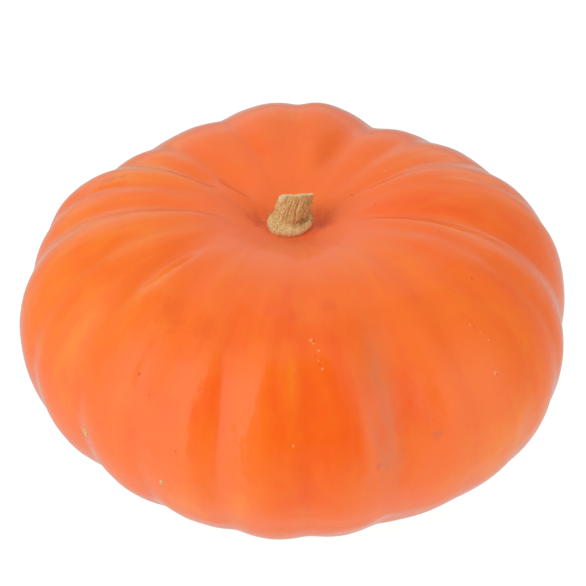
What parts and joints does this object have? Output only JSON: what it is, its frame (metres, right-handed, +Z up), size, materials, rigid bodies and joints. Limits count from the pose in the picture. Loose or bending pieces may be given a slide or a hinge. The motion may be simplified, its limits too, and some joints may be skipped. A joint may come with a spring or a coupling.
{
  "type": "pumpkin",
  "caption": "Flat, round, softly ribbed orange pumpkin with a sunken top, a short corky stem stub cut at a slant and a dimpled underside that it rests on.",
  "frame": {"origin": "on the floor, under the middle of the fruit's breadth and depth", "axes": "+Z up through the stem, -Y towards the side that faces the viewer, +X to the right of it"},
  "size_m": [0.3042, 0.3056, 0.1548],
  "materials": {
    "rind": "smooth waxy rind with a soft gloss",
    "cork": "dry, matt, fibrous cork"
  },
  "bodies": {
    "root": {"fruit": "rind", "stem": "cork"}
  },
  "joints": []
}
